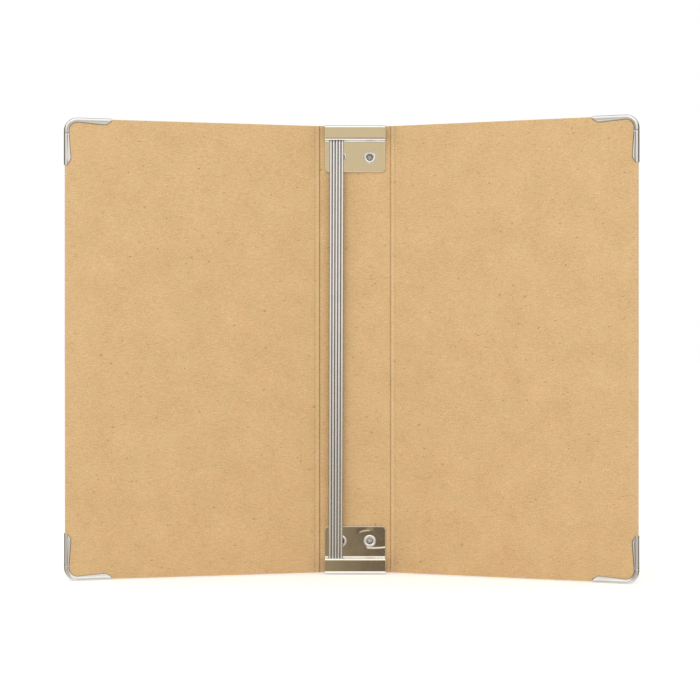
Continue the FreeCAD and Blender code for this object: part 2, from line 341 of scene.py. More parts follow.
def makeKraftEdge():
    material, tree, shader = startMaterial("kraftCutEdge")
    place = addNode(tree, "ShaderNodeAttribute", attribute_name="boardPlace").outputs["Vector"]
    parts = separate(tree, place)
    pulp = placeGroup(tree, pulpGroup, {"Place": place, "Cloud": kraft["cloud"], "Grain": kraft["grain"],
                                        "Fibre": kraft["fibre"], "Fleck": kraft["edgeFleck"]})
    # layers of pulp, seen end on: thin lines that wander along the cut
    along = addNode(tree, "ShaderNodeMapping", {"Vector": place, "Scale": (250.0, 250.0, 250.0)}).outputs[0]
    wander = times(tree, minus(tree, noise(tree, along, 1.0, 3.0), 0.5), 0.35 * mm)
    depth = plus(tree, parts["Y"], wander)
    stretched = addNode(tree, "ShaderNodeCombineXYZ", {
        "X": times(tree, parts["X"], 300.0), "Y": calc(tree, "DIVIDE", depth, kraft["plyPitch"] * mm),
        "Z": times(tree, parts["Z"], 300.0)})
    ply = noise(tree, stretched.outputs[0], 1.0, 3.0, 0.6)
    layers = remap(tree, ply, 0.3, 0.7, kind="LINEAR")
    tone = plus(tree, pulp["Tone"], layers, clamp=True)
    colour = mixColour(tree, tone, kraft["edgeDark"], kraft["edgeLight"])
    tree.links.new(colour, shader.inputs["Base Color"])
    tree.links.new(remap(tree, ply, 0.3, 0.7, 0.97, 0.88, "LINEAR"), shader.inputs["Roughness"])
    shader.inputs["Specular IOR Level"].default_value = 0.2
    bump = addNode(tree, "ShaderNodeBump", {"Height": ply, "Distance": kraft["edgeHeight"], "Strength": 1.0})
    tree.links.new(bump.outputs[0], shader.inputs["Normal"])
    return material


boards = {
    "hingeWidth": 2.7,  # mm, between the two creases on each side
    "coverReach": 124.5,
    "cornerRadius": 5.8,
    "frontAngle": 16.8,  # degrees, how far each cover stands folded in
    "backAngle": 23.9,
    # mm, half of the thickness left, and width of the slope
    "innerCreases": {-1: (0.58, 0.65), 1: (0.70, 0.45)},
    "outerCrease": (0.9, 0.6),
    "arris": 0.28,  # softened edge along every cut
    "crown": 0.04,  # how far the strip between two creases bulges, as a share
    "cornerSteps": 14,
}

pivotOffset = abs(frame["joints"][0]["pos_m"][0])
hingeEnd = halfSpine + boards["hingeWidth"] * mm
coverFree = halfSpine + boards["coverReach"] * mm
foldAngle = {-1: math.radians(boards["frontAngle"]), 1: math.radians(boards["backAngle"])}


def foldPoint(place, side, share=1.0):
    # place is on the flat back cover; side -1 mirrors it to the front
    turn = foldAngle[side] * share
    reach = place.x - pivotOffset
    x = pivotOffset + reach * math.cos(turn) + place.y * math.sin(turn)
    return Vector((side * x, place.y * math.cos(turn) - reach * math.sin(turn), place.z))


def boardDepths():
    # places through the board's thickness, from the inner face to the outer one
    arris = boards["arris"] * mm
    depths = [halfBoard - arris * (1 - math.cos(math.radians(angle))) for angle in range(0, 91, 15)]
    lowest = boards["innerCreases"][-1][0] * mm
    depths += [depths[-1] + (lowest - depths[-1]) * k / 3 for k in range(1, 4)]
    return [-depth for depth in depths] + depths[::-1]


def cutInset(depth):
    arris = boards["arris"] * mm
    over = max(0.0, abs(depth) - (halfBoard - arris))
    return arris - math.sqrt(max(0.0, arris ** 2 - over ** 2))


def creaseInset(depth, crease):
    half, width = crease[0] * mm, crease[1] * mm
    share = max(0.0, abs(depth) - half) / (halfBoard - half)
    return width * (1 - math.sqrt(max(0.0, 1 - share ** 2)))


def stackBoard(name, low, high, lowCrease, highCrease, columns, crown=0.0):
    # stacks one outline per layer; a cut side on the right gets rounded corners
    mesh = bmesh.new()
    radius = 0.0 if highCrease else boards["cornerRadius"] * mm
    loops = []
    for depth in boardDepths():
        cut = cutInset(depth)
        left = low + creaseInset(depth, lowCrease)
        right = high - (creaseInset(depth, highCrease) if highCrease else cut)
        straight = right - max(0.0, radius - cut) if radius else right
        foot = [(left + (straight - left) * k / columns, cut) for k in range(columns + 1)]
        if radius:
            bend = radius - cut
            for k in range(1, boards["cornerSteps"] + 1):
                angle = math.pi / 2 * k / boards["cornerSteps"]
                foot.append((straight + bend * math.sin(angle), cut + bend * (1 - math.cos(angle))))
        middle = (low + high) / 2
        loop = []
        for x, z in foot + [(x, boardHeight - z) for x, z in reversed(foot)]:
            bulge = 1 + crown * (1 - ((x - middle) / (high - middle)) ** 2)
            loop.append(mesh.verts.new((x, depth * bulge, z)))
        loops.append(loop)
    count = len(loops[0])
    for lower, upper in zip(loops, loops[1:]):
        for k in range(count):
            n = (k + 1) % count
            face = mesh.faces.new((lower[k], lower[n], upper[n], upper[k]))
            onCrease = k == count - 1 or (k == count // 2 - 1 and highCrease)
            centre = face.calc_center_median()
            onCut = abs(centre.y) < halfBoard - 0.4 * boards["arris"] * mm
            face.material_index = int(onCut and not onCrease)
    for loop, flip in ((loops[0], False), (loops[-1], True)):
        for k in range(count // 2 - 1):
            corners = (loop[k], loop[k + 1], loop[count - 2 - k], loop[count - 1 - k])
            mesh.faces.new(corners[::-1] if flip else corners)
    bmesh.ops.recalc_face_normals(mesh, faces=mesh.faces)
    data = bpy.data.meshes.new(name)
    mesh.to_mesh(data)
    mesh.free()
    return data


def newPiece(name, data, materials):
    piece = bpy.data.objects.new(name, data)
    bpy.context.scene.collection.objects.link(piece)
    data.materials.clear()
    for material in materials:
        data.materials.append(material)
    return piece


def makePlain(piece):
    # bakes the live modifiers into an ordinary mesh
    depsgraph = bpy.context.evaluated_depsgraph_get()
    depsgraph.update()
    data = bpy.data.meshes.new_from_object(piece.evaluated_get(depsgraph), preserve_all_data_layers=True,
                                           depsgraph=depsgraph)
    piece.modifiers.clear()
    piece.data = data
    return piece


def smooth(data, angle):
    data.shade_smooth()
    data.set_sharp_from_angle(angle=math.radians(angle))


def writeBoardPlace(data):
    # keeps where each point was on the flat sheet, so that the pulp follows the board as it folds
    attribute = data.attributes.new("boardPlace", "FLOAT_VECTOR", "POINT")
    for vertex in data.vertices:
        attribute.data[vertex.index].vector = vertex.co


def placeBoard(piece, side, share):
    if side < 0:
        for item in piece.data.attributes["boardPlace"].data:
            item.vector = (-item.vector[0], item.vector[1], item.vector[2])
    for vertex in piece.data.vertices:
        vertex.co = foldPoint(vertex.co, side, share(vertex.co.x))
    if side < 0:
        piece.data.flip_normals()
    piece.data.update()


def easedShare(x):
    t = min(1.0, max(0.0, (x - halfSpine) / (hingeEnd - halfSpine)))
    return t * t * (3 - 2 * t)


kraftMaterials = [makeKraftFace(), makeKraftEdge()]

rivetNodes = ("foot_rivet_front", "foot_rivet_back", "head_rivet_front", "head_rivet_back")
rivetHoles = {
    "radius": 1.55,  # mm
    "inset": 15.4,  # from the board's end
    "offset": 7.1,  # from the spine's middle
}


def makeBoards():
    inner, outer = boards["innerCreases"], boards["outerCrease"]
    data = stackBoard("spineBoard", -halfSpine, halfSpine, inner[-1], inner[1], 12)
    spine = newPiece("spine_board", data, kraftMaterials)
    drill = bmesh.new()
    for name in rivetNodes:
        low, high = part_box(name)
        middle = (low + high) / 2
        turned = Matrix.Translation((middle.x, 0, middle.z)) @ Matrix.Rotation(math.pi / 2, 4, "X")
        bmesh.ops.create_cone(drill, cap_ends=True, segments=40, radius1=rivetHoles["radius"] * mm,
                              radius2=rivetHoles["radius"] * mm, depth=4 * halfBoard, matrix=turned)
    drillData = bpy.data.meshes.new("drill")
    drill.to_mesh(drillData)
    drill.free()
    driller = newPiece("drill", drillData, [kraftMaterials[1]])
    cut = spine.modifiers.new("rivetHoles", "BOOLEAN")
    cut.object = driller
    cut.solver = "EXACT"
    makePlain(spine)
    bpy.data.objects.remove(driller)
    writeBoardPlace(spine.data)
    smooth(spine.data, 40)
    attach(spine, "spine")
    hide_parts("spine_panel")
    for side, label in ((-1, "front"), (1, "back")):
        data = stackBoard(label + "Cover", hingeEnd, coverFree, outer, None, 14)
        writeBoardPlace(data)
        cover = newPiece(label + "_cover", data, kraftMaterials)
        placeBoard(cover, side, lambda x: 1.0)
        smooth(cover.data, 40)
        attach(cover, label + "_cover")
        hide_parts(label + "_cover_board")
        data = stackBoard(label + "Strip", halfSpine, hingeEnd, inner[side], outer, 16, boards["crown"])
        writeBoardPlace(data)
        strip = newPiece(label + "_hinge", data, kraftMaterials)
        placeBoard(strip, side, easedShare)
        smooth(strip.data, 40)
        middle = boardHeight / 2
        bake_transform(strip)
        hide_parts(label + "_hinge_strip")


makeBoards()
print("boards made")


# plated metal

paintedMetalShade = {
    # painted shade on the wires' flanks, which are darkened towards this colour
    "flank": (0.24, 0.235, 0.23, 1.0),
    # painted shade in the rivets' bores
    "bore": (0.36, 0.35, 0.35, 1.0),
    "boreShadeRim": (1.75, 1.45),  # mm from the rivet's axis, where the painted shade of the bore begins
    "boreShadeFloor": (0.75, 0.4),
    # painted shade on the corners' lip and crimp fold
    "lip": (0.14, 0.10, 0.055, 1.0),
}
# two shallow dents, pressed into the foot plate as its right rivet was closed; all in mm
dents = (
    {"start": (8.0, 12.5), "curve": 0.009, "fade": (-3.0, 0.4, 12.0, 11.0), "depth": 0.27},
    {"start": (6.3, 21.0), "curve": -0.05, "fade": (-6.0, -2.0, 3.0, -1.0), "depth": 0.06},
)
dentSlopes = (-1.0, 3.2)  # the steep side and the long one


def addDent(tree, parts, before, start, curve, fade, depth):
    # a ridge along a curve that runs sideways from its start and fades out at both ends
    along = minus(tree, times(tree, parts["X"], 1000.0), start[0])
    bow = times(tree, times(tree, along, along), curve)
    across = minus(tree, times(tree, parts["Z"], 1000.0), start[1])
    away = minus(tree, across, bow)
    steep, gentle = (remap(tree, away, 0.0, slope, 1.0, 0.0) for slope in dentSlopes)
    ridge = calc(tree, "MINIMUM", steep, gentle)
    ridge = times(tree, ridge, remap(tree, along, fade[0], fade[1]))
    ridge = times(tree, ridge, remap(tree, along, fade[2], fade[3]))
    return addNode(tree, "ShaderNodeBump", {"Height": ridge, "Strength": 1.0,
                                            "Distance": depth * mm, "Normal": before.outputs[0]}, invert=True)


def makePlated(name, base, roughness, scratch, wave, hairline, shape):
    material, tree, shader = startMaterial(name)
    place = addNode(tree, "ShaderNodeTexCoord").outputs["Object"]
    wear = placeGroup(tree, scratchGroup, {"Place": place, "Length": 0.25, "Fineness": 7.0})
    colour = mixColour(tree, times(tree, wear["Smudge"], 0.16), base,
                       tuple(0.8 * c for c in base[:3]) + (1.0,))
    if shape == "round":
        # painted shade: a drawn wire's base colour is darkened towards its flanks as the viewer sees them,
        # standing in for the dark neighbours it mirrors there
        flankShadeMask = addNode(tree, "ShaderNodeLayerWeight", {"Blend": 0.5}).outputs["Facing"]
        colour = mixColour(tree, remap(tree, flankShadeMask, 0.10, 0.5), colour, paintedMetalShade["flank"])
    if shape == "hollow":
        # painted shade: the bore's walls are darkened on the roll's side, and its floor is left bright
        parts = separate(tree, place)
        inset = rivetHoles["inset"] * mm
        u = minus(tree, calc(tree, "ABSOLUTE", parts["X"]), rivetHoles["offset"] * mm)
        atFoot = apart(tree, parts["Z"], inset)
        atHead = apart(tree, parts["Z"], boardHeight - inset)
        v = calc(tree, "MINIMUM", atFoot, atHead)
        squares = plus(tree, times(tree, u, u), times(tree, v, v))
        away = calc(tree, "SQRT", squares)
        bore, core = (remap(tree, away, start * mm, end * mm)
                      for start, end in (paintedMetalShade["boreShadeRim"], paintedMetalShade["boreShadeFloor"]))
        inner = minus(tree, bore, times(tree, core, 0.9))
        inner = times(tree, inner, calc(tree, "LESS_THAN", parts["Y"], 0.0))
        colour = mixColour(tree, inner, colour, paintedMetalShade["bore"])
    if shape == "lipShaded":
        # painted shade: the lip that presses on the board and the small crimp fold are darkened to a brown,
        # where a contact shadow and the fold's shade fall
        lip = addNode(tree, "ShaderNodeAttribute", attribute_name="lip").outputs["Fac"]
        colour = mixColour(tree, times(tree, lip, 0.9), colour, paintedMetalShade["lip"])
    tree.links.new(colour, shader.inputs["Base Color"])
    shader.inputs["Metallic"].default_value = 1.0
    rough = plus(tree, times(tree, wear["Smudge"], roughness * 0.7), roughness * 0.7)
    rough = plus(tree, rough, times(tree, wear["Scratch"], scratch))
    tree.links.new(rough, shader.inputs["Roughness"])
    fine = addNode(tree, "ShaderNodeBump", {"Height": wear["Scratch"], "Distance": hairline * mm,
                                            "Strength": 0.6})
    last = addNode(tree, "ShaderNodeBump", {"Height": wear["Dent"], "Distance": wave * mm, "Strength": 1.0,
                                            "Normal": fine.outputs[0]})
    if shape == "dented":
        parts = separate(tree, place)
        for dent in dents:
            last = addDent(tree, parts, last, **dent)
    tree.links.new(last.outputs[0], shader.inputs["Normal"])
    return material


# colour, roughness, what scratches add to it, depths of waves and hairlines in mm, and what is special
metals = {
    "corner": makePlated("platedCorner", (0.83, 0.81, 0.79, 1.0), 0.16, 0.05, 0.01, 0.0006, "lipShaded"),
    "holder": makePlated("platedHolder", (0.80, 0.775, 0.73, 1.0), 0.08, 0.04, 0.02, 0.0004, "dented"),
    "rivet": makePlated("platedRivet", (0.93, 0.92, 0.91, 1.0), 0.26, 0.04, 0.005, 0.0005, "hollow"),
    "wire": makePlated("drawnSteelWire", (0.90, 0.895, 0.89, 1.0), 0.10, 0.04, 0.002, 0.0002, "round"),
}
print("metal finishes made")


# corner protectors, pressed round the free corners of the covers

corners = {
    "sheet": 0.5,  # mm
    "leg": 22.5,
    "throat": 2.3,
    "lobe": 3.3,
    "slant": 2.7,
    "tipWidth": 1.5,
    "tipRadius": 0.5,
    "pocketGap": 0.03,
    "lip": 0.45,  # radius that curls the inner edge down on to the board
    "sag": 0.22,  # how much lower the flange is at the lip than at its crest
    "groove": 0.09,  # depth of the channel between the flange and the rolled rim
    "rimReach": 1.15,  # width of the rolled rim
    "crimp": 0.16,  # depth of the small fold where the bend meets the upright leg
    # how far past the bend each section of that fold stands, and its share of the depth
    "crimpSteps": ((0.0, 0.0), (0.6, 0.0), (0.95, 0.0), (1.1, 0.6), (1.2, 1.0), (1.3, 0.6), (1.45, 0.0)),
    "crimpEnd": 1.6,
    "face": 1.5,  # from the board's middle to the flange
    "kneeRound": 0.22,  # how much the rounding takes off the lobe
    "arcSteps": 22,
    "legSteps": 16,
}


def cornerSection(width, start, half):
    # closed loop of (distance inwards, depth): outside from the inner lip over the rim, then back inside
    gap = (halfBoard + corners["pocketGap"] * mm) * min(1.0, half / (halfBoard + corners["sheet"] * mm))
    wall = (corners["sheet"] - corners["pocketGap"]) * mm
    lip = corners["lip"] * mm
    crest = half
    lipTop = half - corners["sag"] * mm
    rim = min(corners["rimReach"] * mm, 0.6 * (width - start))
    curl = [math.pi / 2 * k / 5 for k in range(6)]
    outside = [(width - lip * (1 - math.cos(angle)), gap + (lipTop - gap) * math.sin(angle))
               for angle in curl]
    flatEnd = start + rim
    for k in range(1, 10):
        share = k / 10
        d = width - lip + (flatEnd - width + lip) * share
        groove = corners["groove"] * mm * math.sin(math.pi * share) ** 2
        outside.append((d, lipTop + (crest - lipTop) * math.sin(math.pi / 2 * share) - groove))
    for k in range(13):
        angle = math.pi / 2 * k / 12
        outside.append((flatEnd - rim * math.sin(angle), crest * math.cos(angle) ** 0.8 if k < 12 else 0.0))
    shade = [1.0, 1.0, 0.9, 0.6, 0.3, 0.1]
    outside = [(d, y, shade[k] if k < len(shade) else 0.0) for k, (d, y) in enumerate(outside)]
    outer = [(d, -y, lip) for d, y, lip in outside] + [(d, y, lip) for d, y, lip in reversed(outside[:-1])]
    inner = [(width - 0.06 * mm, gap, 1.0), (start + wall + 0.3 * mm, gap, 1.0),
             (start + wall + 0.08 * mm, gap * 0.93, 1.0), (start + wall, gap * 0.75, 1.0)]
    return outer + inner + [(d, -y, lip) for d, y, lip in reversed(inner)]


def cornerStations():
    # (leg, place along it or angle, flange width, outer start, half thickness)
    radius = boards["cornerRadius"]
    tip = corners["leg"] - corners["sheet"]
    knee = tip - corners["slant"]
    tipRadius = corners["tipRadius"]
    legSteps = corners["legSteps"]
    lobe, throat = corners["lobe"], corners["throat"]
    places = [tip - tipRadius * (1 - math.cos(math.pi / 2 * k / 8)) for k in range(9)]
    places += [tip - tipRadius - (corners["slant"] - tipRadius) * k / 8 for k in range(1, 9)]
    places += [knee - (knee - radius) * (k / legSteps) ** 1.3 for k in range(1, legSteps + 1)]
    leg = []
    for place in places:
        if place > knee:
            width = lobe + (corners["tipWidth"] - lobe) * (place - knee) / corners["slant"]
        else:
            width = throat + (lobe - throat) * (place - radius) / (knee - radius)
        blend = max(0.0, 1 - abs(place - knee))
        width -= corners["kneeRound"] * blend ** 2
        over = max(0.0, tipRadius - (tip - place))
        curl = tipRadius - math.sqrt(max(0.0, tipRadius ** 2 - over ** 2))
        half = corners["face"] - 0.28 * (curl / tipRadius) ** 2
        leg.append((place, (width - curl * 0.6) * mm, curl * 0.6 * mm, half * mm))
    stations = [("along", place * mm, width, start, half) for place, width, start, half in leg]
    for k in range(1, corners["arcSteps"]):
        angle = math.pi / 2 * k / corners["arcSteps"]
        stations.append(("arc", angle, throat * mm, 0.0, corners["face"] * mm))
    for step, fold in corners["crimpSteps"]:
        width = throat + 0.07 * step
        half = corners["face"] - fold * corners["crimp"]
        stations.append(("up", (radius + step) * mm, width * mm, 0.0, half * mm))
    stations += [("up", place * mm, width, start, half) for place, width, start, half in reversed(leg)
                 if place > radius + corners["crimpEnd"]]
    return stations


def makeCorner(name, side, atHead):
    sheet = corners["sheet"] * mm
    radius = boards["cornerRadius"] * mm
    mesh = bmesh.new()
    lipShadeLayer = mesh.verts.layers.float.new("lip")
    rings = []
    for kind, place, width, start, half in cornerStations():
        folding = kind == "up" and place < radius + corners["crimpEnd"] * mm
        fold = min(1.0, (corners["face"] * mm - half) / (corners["crimp"] * mm)) if folding else 0.0
        ring = []
        for d, y, lip in cornerSection(width, start, half):
            if kind == "along":
                u, v = place, d - sheet
            elif kind == "up":
                u, v = d - sheet, place
            else:
                reach = radius + sheet - d
                u, v = radius - reach * math.sin(place), radius - reach * math.cos(place)
            point = Vector((coverFree - u, y, boardHeight - v if atHead else v))
            vertex = mesh.verts.new(foldPoint(point, side))
            # painted shade mask: the lip's share, and at the crimp fold the whole section
            vertex[lipShadeLayer] = max(lip, fold)
            ring.append(vertex)
        rings.append(ring)
    for lower, upper in zip(rings, rings[1:]):
        for k in range(len(lower)):
            n = (k + 1) % len(lower)
            mesh.faces.new((lower[k], lower[n], upper[n], upper[k]))
    mesh.faces.new(rings[0])
    mesh.faces.new(rings[-1])
    bmesh.ops.recalc_face_normals(mesh, faces=mesh.faces)
    data = bpy.data.meshes.new(name)
    mesh.to_mesh(data)
    mesh.free()
    smooth(data, 55)
    piece = newPiece(name, data, [metals["corner"]])
    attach(piece, "front_cover" if side < 0 else "back_cover")
    return piece


for side, label in ((-1, "front"), (1, "back")):
    for atHead, end in ((False, "foot"), (True, "head")):
        cornerPiece = makeCorner(label + "_" + end + "_protector", side, atHead)
        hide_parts(label + "_" + end + "_corner")
print("corner protectors made")


# turned parts: a half profile in the base mesh, revolved by Geometry Nodes

def makeTurnTree():
    inputs = {"Geometry": "shape", "Sides": "count", "Place": "vector", "Turn": "vector",
              "Finish": "material"}
    tree, given, result = newTree("turnedPart", "GeometryNodeTree", inputs, {"Geometry": "shape"})
    seedRadius = 0.1 * mm  # the ring that the profile is swept round
    back = addNode(tree, "GeometryNodeTransform", {"Geometry": given["Geometry"],
                                                   "Translation": (-seedRadius, 0.0, 0.0)})
    profile = addNode(tree, "GeometryNodeMeshToCurve", {0: back.outputs[0]})
    circle = addNode(tree, "GeometryNodeCurvePrimitiveCircle", {"Resolution": given["Sides"],
                                                                "Radius": seedRadius})
    swept = addNode(tree, "GeometryNodeCurveToMesh", {"Curve": circle.outputs[0],
                                                      "Profile Curve": profile.outputs[0]})
    placed = addNode(tree, "GeometryNodeTransform", {
        "Geometry": swept.outputs[0], "Translation": given["Place"], "Rotation": given["Turn"]})
    merged = addNode(tree, "GeometryNodeMergeByDistance", {"Geometry": placed.outputs[0],
                                                           "Distance": 0.002 * mm})
    real = addNode(tree, "GeometryNodeRealizeInstances", {"Geometry": merged.outputs[0]})
    finished = addNode(tree, "GeometryNodeSetMaterial", {"Geometry": real.outputs[0],
                                                         "Material": given["Finish"]})
    tree.links.new(finished.outputs[0], result["Geometry"])
    return tree


def runTree(piece, tree, values):
    modifier = piece.modifiers.new("made", "NODES")
    modifier.node_group = tree
    for item in tree.interface.items_tree:
        if item.in_out == "INPUT" and item.name in values:
            modifier[item.identifier] = values[item.name]
    return makePlain(piece)


def lineMesh(name, points):
    data = bpy.data.meshes.new(name)
    data.from_pydata(points, [(k, k + 1) for k in range(len(points) - 1)], [])
    return data


def pointOutwards(data):
    mesh = bmesh.new()
    mesh.from_mesh(data)
    bmesh.ops.recalc_face_normals(mesh, faces=mesh.faces)
    mesh.to_mesh(data)
    mesh.free()


def arcPoints(middle, radius, start, end, count):
    angles = [math.radians(start + (end - start) * k / count) for k in range(count + 1)]
    return [(middle[0] + radius * math.cos(a), middle[1] + radius * math.sin(a)) for a in angles]


turnTree = makeTurnTree()

wires = {
    "count": 5,
    "diameter": 1.35,  # mm
    "endRound": 0.3,
    "lean": 0.6,  # how much nearer the front cover the foot stands than the top
    "sides": 28,
}


def makeWire(number):
    node = "booklet_wire_%d" % number
    low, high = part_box(node)
    middle = (low + high) / 2
    half = (high.z - low.z) / 2
    radius = wires["diameter"] * mm / 2
    bend = wires["endRound"] * mm
    points = [(0.0, -half)]
    points += arcPoints((radius - bend, -half + bend), bend, -90, 0, 6)
    points += [(radius, -half + 2 * half * k / 12) for k in range(1, 12)]
    points += arcPoints((radius - bend, half - bend), bend, 0, 90, 6)
    points += [(0.0, half)]
    piece = newPiece("wire_%d_rod" % number, lineMesh(node, [(x, y, 0.0) for x, y in points]), [])
    lean = math.atan(wires["lean"] * mm / (2 * half))
    runTree(piece, turnTree, {"Sides": wires["sides"], "Place": tuple(middle),
                              "Turn": (math.pi, lean, 0.0), "Finish": metals["wire"]})
    pointOutwards(piece.data)
    smooth(piece.data, 50)
    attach(piece, "wire_%d" % number)
    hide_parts(node)


for number in range(1, wires["count"] + 1):
    makeWire(number)
print("booklet wires made")


rivets = {
    "shank": 3.0,  # mm, diameters
    "bore": 2.3,
    "head": 7.0,
    "roll": 5.95,
    "crest": 4.7,
    "mouth": 3.2,  # width of the hollow at its mouth, before it narrows to the bore
    "headHeight": 1.1,
    "headRim": 0.28,
    "rollHeight": 0.8,
    "seat": 1.8,  # from the board's middle to the plate's face
    "boreDepth": 3.2,
    "sides": 48,
}


def rivetProfile():
    # (radius, place along the axis), from the bottom of the bore round the roll and the head to the crown
    shank, bore = rivets["shank"] / 2, rivets["bore"] / 2
    head, roll, crest = rivets["head"] / 2, rivets["roll"] / 2, rivets["crest"] / 2
    seat = -rivets["seat"]
    top = seat - rivets["rollHeight"]
    boreEnd = top + rivets["boreDepth"]
    mouth = rivets["mouth"] / 2
    inside = crest - mouth
    outside = roll - crest
    points = [(0.0, boreEnd + 0.5), (bore * 0.55, boreEnd + 0.32), (bore * 0.9, boreEnd)]
    points += [(bore, boreEnd - 0.4), (bore, top + inside + 0.75), (bore + 0.08, top + inside + 0.5)]
    points += [(mouth + inside * (1 - math.cos(a)), top + 0.62 * inside * (1 - math.sin(a)))
               for a in (math.pi / 2 * k / 9 for k in range(0, 10))]
    points += [(crest + outside * math.sin(a), top + outside * (1 - math.cos(a)))
               for a in (math.pi / 2 * k / 8 for k in range(1, 9))]
    points += [(roll - 0.02, seat - 0.1), (roll - 0.12, seat)]
    points += [(shank, seat), (shank, 1.0), (head - 0.14, 1.0), (head - 0.03, 1.05), (head, 1.14)]
    rim = 1.0 + rivets["headRim"]
    crown = 1.0 + rivets["headHeight"]
    rise = crown - rim
    dome = (head ** 2 + rise ** 2) / (2 * rise)
    widest = math.asin(head / dome)
    for k in range(13):
        angle = widest * (1 - k / 12)
        soft = 0.06 * (1 - min(1.0, k / 2))
        points.append((dome * math.sin(angle) - soft, crown - dome * (1 - math.cos(angle)) - soft * 0.3))
    points[-1] = (0.0, crown)
    return points


def makeRivet(node):
    low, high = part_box(node)
    middle = (low + high) / 2
    profile = [(r * mm, y * mm, 0.0) for r, y in rivetProfile()]
    piece = newPiece(node.replace("rivet", "hollow_rivet"), lineMesh(node, profile), [])
    runTree(piece, turnTree, {"Sides": rivets["sides"], "Place": (middle.x, 0.0, middle.z),
                              "Turn": (math.pi / 2, 0.0, 0.0), "Finish": metals["rivet"]})
    pointOutwards(piece.data)
    smooth(piece.data, 42)
    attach(piece, "spine")
    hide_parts(node)


for node in rivetNodes:
    makeRivet(node)
print("rivets made")


# wire holders: a strip folded along a path, then slotted and pierced

holders = {
    "width": 29.6,  # mm
    "sheet": 0.8,
    "endInset": 0.3,
    "shelfInset": 7.6,
    "plateInset": 22.5,
    "depth": 6.5,
    "bendInner": 0.5,
    "plateCorner": 1.8,
    "flangeGap": 0.1,
    "overhang": 4.0,  # how much wider the strip is before it is trimmed
    "trimReach": 40.0,  # well past the closed end, so that only the plate's corners are rounded
    "slotEnd": 12.35,
    "slotHalf": 0.825,
    "slotAxis": 4.4,  # from the board's middle
    "edgeRound": 0.27,
    "edgeProfile": 0.34,  # a little flatter than a quarter round
}


def makeHolderTree():
    inputs = {"Geometry": "shape", "Width": "value", "Sheet": "value", "Bend Radius": "value",
              "Trim Corner": "value", "Trim Height": "value", "Trim Place": "value",
              "Slot Length": "value", "Slot Width": "value", "Slot Place": "vector",
              "Hole Radius": "value", "Left Hole": "vector", "Right Hole": "vector", "Finish": "material"}
    tree, given, result = newTree("foldedHolder", "GeometryNodeTree", inputs, {"Geometry": "shape"})

    def prism(outline, start, end):
        line = addNode(tree, "GeometryNodeCurvePrimitiveLine", {"Start": start, "End": end})
        made = addNode(tree, "GeometryNodeCurveToMesh", {"Curve": line.outputs[0], "Profile Curve": outline,
                                                         "Fill Caps": True})
        return made.outputs[0]

    def roundedBox(width, height, radius, steps):
        box = addNode(tree, "GeometryNodeCurvePrimitiveQuadrilateral", {"Width": width, "Height": height},
                      mode="RECTANGLE")
        bent = addNode(tree, "GeometryNodeFilletCurve", {"Curve": box.outputs[0], "Radius": radius,
                                                         "Count": steps}, mode="POLY")
        return bent.outputs[0]

    def shifted(place, y):
        return vectorCalc(tree, "ADD", place, (0.0, y, 0.0))

    path = addNode(tree, "GeometryNodeMeshToCurve", {0: given["Geometry"]})
    bent = addNode(tree, "GeometryNodeFilletCurve", {"Curve": path.outputs[0], "Radius": given["Bend Radius"],
                                                     "Count": 9}, mode="POLY")
    wide = plus(tree, given["Width"], holders["overhang"] * mm)
    section = addNode(tree, "GeometryNodeCurvePrimitiveQuadrilateral",
                      {"Width": wide, "Height": given["Sheet"]}, mode="RECTANGLE")
    strip = addNode(tree, "GeometryNodeCurveToMesh", {"Curve": bent.outputs[0],
                                                      "Profile Curve": section.outputs[0], "Fill Caps": True})
    # the blank's outline, seen from the front, trims the strip to its width and rounds the plate
    outline = roundedBox(given["Width"], given["Trim Height"], given["Trim Corner"], 8)
    trimStart = addNode(tree, "ShaderNodeCombineXYZ", {"Y": -12 * mm, "Z": given["Trim Place"]}).outputs[0]
    trim = prism(outline, trimStart, shifted(trimStart, 16 * mm))
    trimmed = addNode(tree, "GeometryNodeMeshBoolean", operation="INTERSECT", solver="EXACT")
    tree.links.new(strip.outputs[0], trimmed.inputs[1])
    tree.links.new(trim, trimmed.inputs[1])
    # a radius just under half of the width keeps the slot's two ends from meeting
    slot = roundedBox(given["Slot Length"], given["Slot Width"], times(tree, given["Slot Width"], 0.4995), 8)
    slotTop = vectorCalc(tree, "ADD", given["Slot Place"], (0.0, 0.0, 2 * mm))
    cutters = [prism(slot, given["Slot Place"], slotTop)]
    for name in ("Left Hole", "Right Hole"):
        hole = addNode(tree, "GeometryNodeCurvePrimitiveCircle", {"Resolution": 40,
                                                                  "Radius": given["Hole Radius"]}).outputs[0]
        cutters.append(prism(hole, shifted(given[name], -2 * mm), shifted(given[name], 2 * mm)))
    pierced = addNode(tree, "GeometryNodeMeshBoolean", operation="DIFFERENCE", solver="EXACT")
    tree.links.new(trimmed.outputs[0], pierced.inputs[0])
    for cutter in cutters:
        tree.links.new(cutter, pierced.inputs[1])
    real = addNode(tree, "GeometryNodeRealizeInstances", {"Geometry": pierced.outputs[0]})
    finished = addNode(tree, "GeometryNodeSetMaterial", {"Geometry": real.outputs[0],
                                                         "Material": given["Finish"]})
    tree.links.new(finished.outputs[0], result["Geometry"])
    return tree


holderTree = makeHolderTree()


